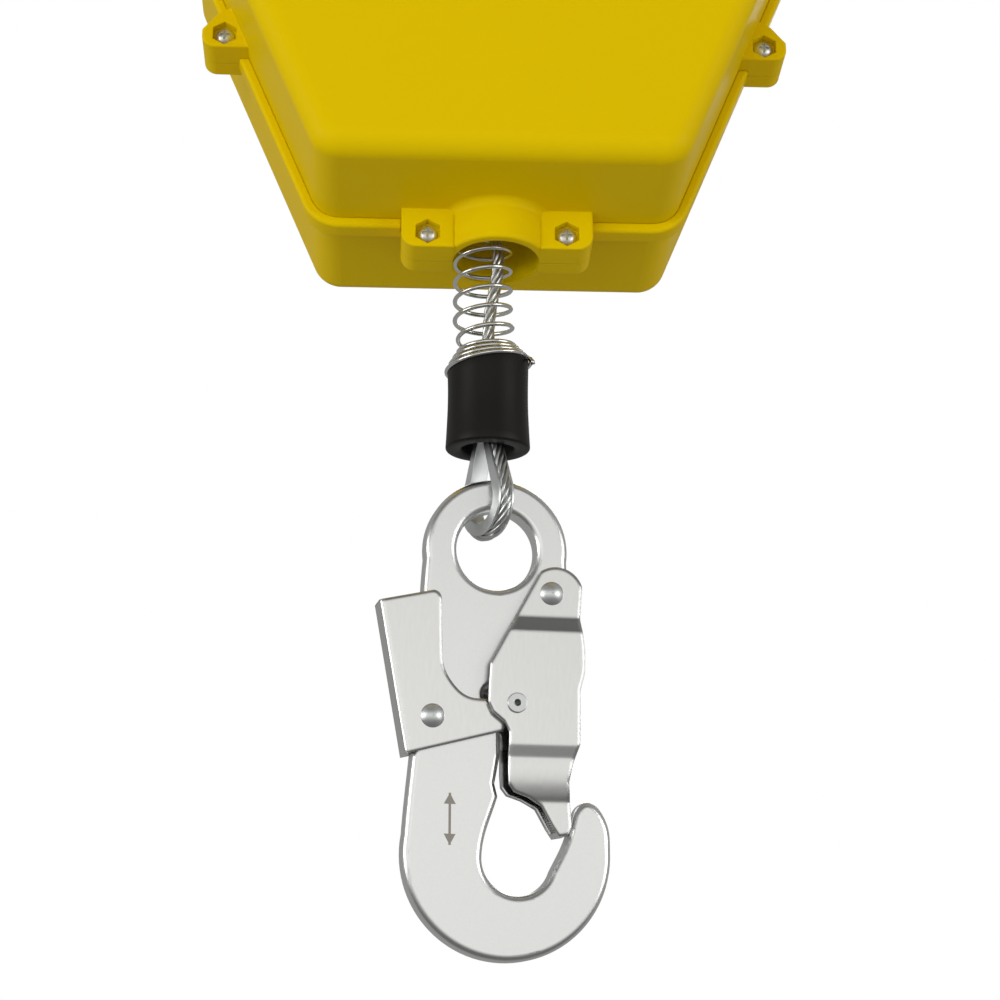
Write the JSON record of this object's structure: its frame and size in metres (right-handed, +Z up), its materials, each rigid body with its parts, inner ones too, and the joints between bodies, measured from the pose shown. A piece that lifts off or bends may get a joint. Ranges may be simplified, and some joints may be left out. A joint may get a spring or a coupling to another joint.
{
  "type": "self retracting lifeline",
  "caption": "Cable fall arrester: two-part yellow housing on an anchor plate, sprung drum with pawl brake, steel cable with stop spring and bumper, and a locking snap hook.",
  "frame": {"origin": "centre of the anchor eye, on the plane where the two housing shells meet", "axes": "+Z up along the hanging line, -Y out of the front cover, +X to the right seen from the front; the eye's bore runs along Y"},
  "size_m": [0.1922, 0.0856, 0.487],
  "materials": {
    "yellow_abs": "satin moulded, fine grain",
    "zinc_fastener": "bright zinc plated",
    "frame_steel": "zinc plated sheet",
    "forged_plate": "satin nickel plated",
    "sheet_plate": "bright nickel plated sheet",
    "shaft_steel": "ground",
    "spring_steel": "bright zinc plated wire",
    "blue_spring": "oiled strip",
    "rope_steel": "galvanised strands",
    "bronze": "oiled",
    "drum_metal": "as cast",
    "ferrule_metal": "pressed",
    "brake_lining": "moulded friction lining",
    "nylon": "natural",
    "black_rubber": "satin black"
  },
  "bodies": {
    "housing": {"front_cover": "yellow_abs", "rear_shell": "yellow_abs", "housing_screws": "zinc_fastener", "front_frame_plate": "frame_steel", "rear_frame_plate": "frame_steel", "frame_pillars": "frame_steel", "frame_bolts": "zinc_fastener", "frame_nuts": "zinc_fastener", "anchor_plate": "frame_steel", "anchor_spacers": "frame_steel", "main_shaft": "shaft_steel", "shaft_clips": "blue_spring", "shaft_spacer": "frame_steel", "spring_arbor": "shaft_steel", "brake_linings": "brake_lining", "clamp_ring": "frame_steel", "brake_springs": "blue_spring", "brake_screws": "zinc_fastener", "power_spring": "blue_spring", "cable_guide": "nylon", "cable_run": "rope_steel"},
    "brake_ring": {"ratchet_ring": "shaft_steel"},
    "drum": {"cable_drum": "drum_metal", "wound_cable": "rope_steel", "drum_bushes": "bronze", "pawl_pins": "shaft_steel", "pawl_springs": "spring_steel", "spring_cup": "drum_metal", "cup_cover": "frame_steel"},
    "upper_pawl": {"pawl_upper": "shaft_steel"},
    "lower_pawl": {"pawl_lower": "shaft_steel"},
    "line": {"cable_upper": "rope_steel"},
    "tail": {"cable_lower": "rope_steel", "stop_spring": "spring_steel", "rubber_bumper": "black_rubber", "cable_ferrule": "ferrule_metal", "thimble": "zinc_fastener", "cable_loop": "rope_steel"},
    "hook": {"hook_body": "forged_plate", "gate_rivet": "zinc_fastener", "lever_rivet": "zinc_fastener", "gate_spring": "spring_steel", "lever_spring": "spring_steel"},
    "gate": {"gate": "sheet_plate", "gate_pin": "zinc_fastener"},
    "lever": {"lock_lever": "sheet_plate"}
  },
  "joints": [
    {"name": "drum_spin", "type": "hinge", "parent": "housing", "child": "drum", "pos_m": [-0.022, 0, -0.127], "axis": [0, 1, 0], "range_deg": [0, 300]},
    {"name": "brake_slip", "type": "hinge", "parent": "housing", "child": "brake_ring", "pos_m": [-0.022, 0, -0.127], "axis": [0, 1, 0], "range_deg": [0, 360]},
    {"name": "upper_pawl_swing", "type": "hinge", "parent": "drum", "child": "upper_pawl", "pos_m": [-0.022, 0, -0.101], "axis": [0, -1, 0], "range_deg": [0, 16], "stiffness_Nm_per_rad": 0.05, "springref_deg": -9.74},
    {"name": "lower_pawl_swing", "type": "hinge", "parent": "drum", "child": "lower_pawl", "pos_m": [-0.022, 0, -0.153], "axis": [0, -1, 0], "range_deg": [0, 16], "stiffness_Nm_per_rad": 0.05, "springref_deg": -9.74},
    {"name": "line_payout", "type": "slide", "parent": "housing", "child": "line", "axis": [0, 0, -1], "range_m": [0, 0.2623], "stiffness_N_per_m": 20, "springref_m": -0.6},
    {"name": "line_swing", "type": "hinge", "parent": "line", "child": "tail", "pos_m": [-0.0023, 0, -0.261], "axis": [1, 0, 0], "range_deg": [-30, 20], "stiffness_Nm_per_rad": 1, "springref_deg": 3.72, "deforming": ["stop_spring"]},
    {"name": "hook_swing", "type": "hinge", "parent": "tail", "child": "hook", "pos_m": [-0.0003, 0.0136, -0.354], "axis": [0.1392, -0.9752, -0.172], "range_deg": [-60, 60]},
    {"name": "lever_press", "type": "hinge", "parent": "hook", "child": "lever", "pos_m": [-0.01832, 0.01942, -0.40161], "axis": [-0.1392, 0.9752, 0.172], "range_deg": [0, 9], "stiffness_Nm_per_rad": 0.15, "springref_deg": -20.05, "deforming": ["lever_spring"]},
    {"name": "gate_open", "type": "hinge", "parent": "hook", "child": "gate", "pos_m": [0.01475, 0.01787, -0.36604], "axis": [-0.1392, 0.9752, 0.172], "range_deg": [0, 12], "stiffness_Nm_per_rad": 0.15, "springref_deg": -20.05, "deforming": ["gate_spring"]}
  ],
  "couplings": [
    {"joint": "line_payout", "follows": "drum_spin", "m_per_rad": 0.05},
    {"joint": "lever_press", "follows": "gate_open", "ratio": 0.75}
  ]
}
